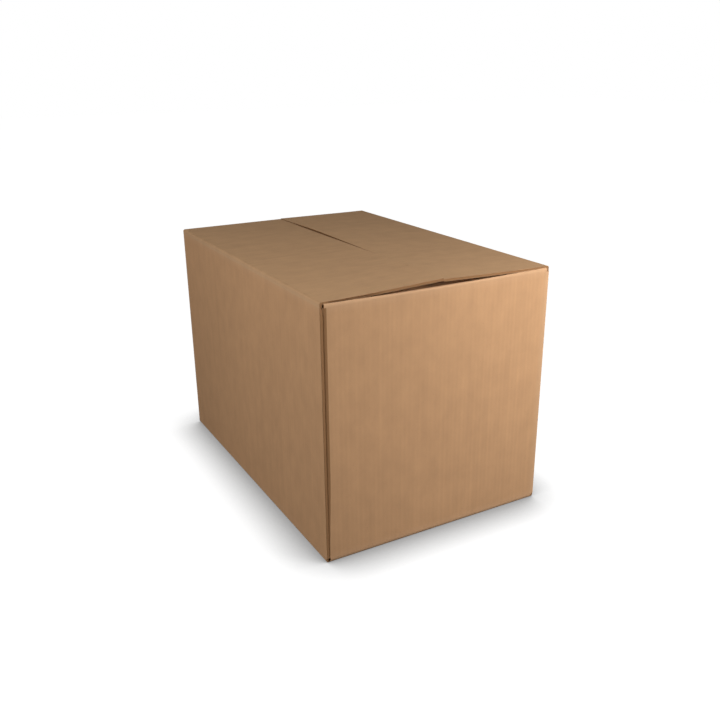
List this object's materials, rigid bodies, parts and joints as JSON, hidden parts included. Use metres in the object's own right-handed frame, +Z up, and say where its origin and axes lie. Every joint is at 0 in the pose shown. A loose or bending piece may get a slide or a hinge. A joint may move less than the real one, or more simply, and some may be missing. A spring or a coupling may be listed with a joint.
{
  "type": "shipping box",
  "caption": "Plain brown corrugated shipping carton, shut, with outer top flaps that swing open over a hollow inside.",
  "frame": {"origin": "middle of the base, on the face that the carton rests on", "axes": "+Z up; +Y along the long side walls, away from the end panel with the glued joint; +X to the right when that end panel is looked at"},
  "size_m": [0.408, 0.608, 0.4229],
  "materials": {
    "kraft_board": "matt unbleached kraft liner",
    "kraft_board_lid": "matt unbleached kraft liner"
  },
  "bodies": {
    "carton_body": {"carton_body": "kraft_board"},
    "outer_flap_left": {"top_outer_flap_left": "kraft_board_lid"},
    "outer_flap_right": {"top_outer_flap_right": "kraft_board_lid"}
  },
  "joints": [
    {"name": "left_flap_crease", "type": "hinge", "parent": "carton_body", "child": "outer_flap_left", "pos_m": [-0.204, 0, 0.4163], "axis": [0, -1, 0], "range_deg": [0, 260]},
    {"name": "right_flap_crease", "type": "hinge", "parent": "carton_body", "child": "outer_flap_right", "pos_m": [0.204, 0, 0.4163], "axis": [0, 1, 0], "range_deg": [0, 260]}
  ]
}
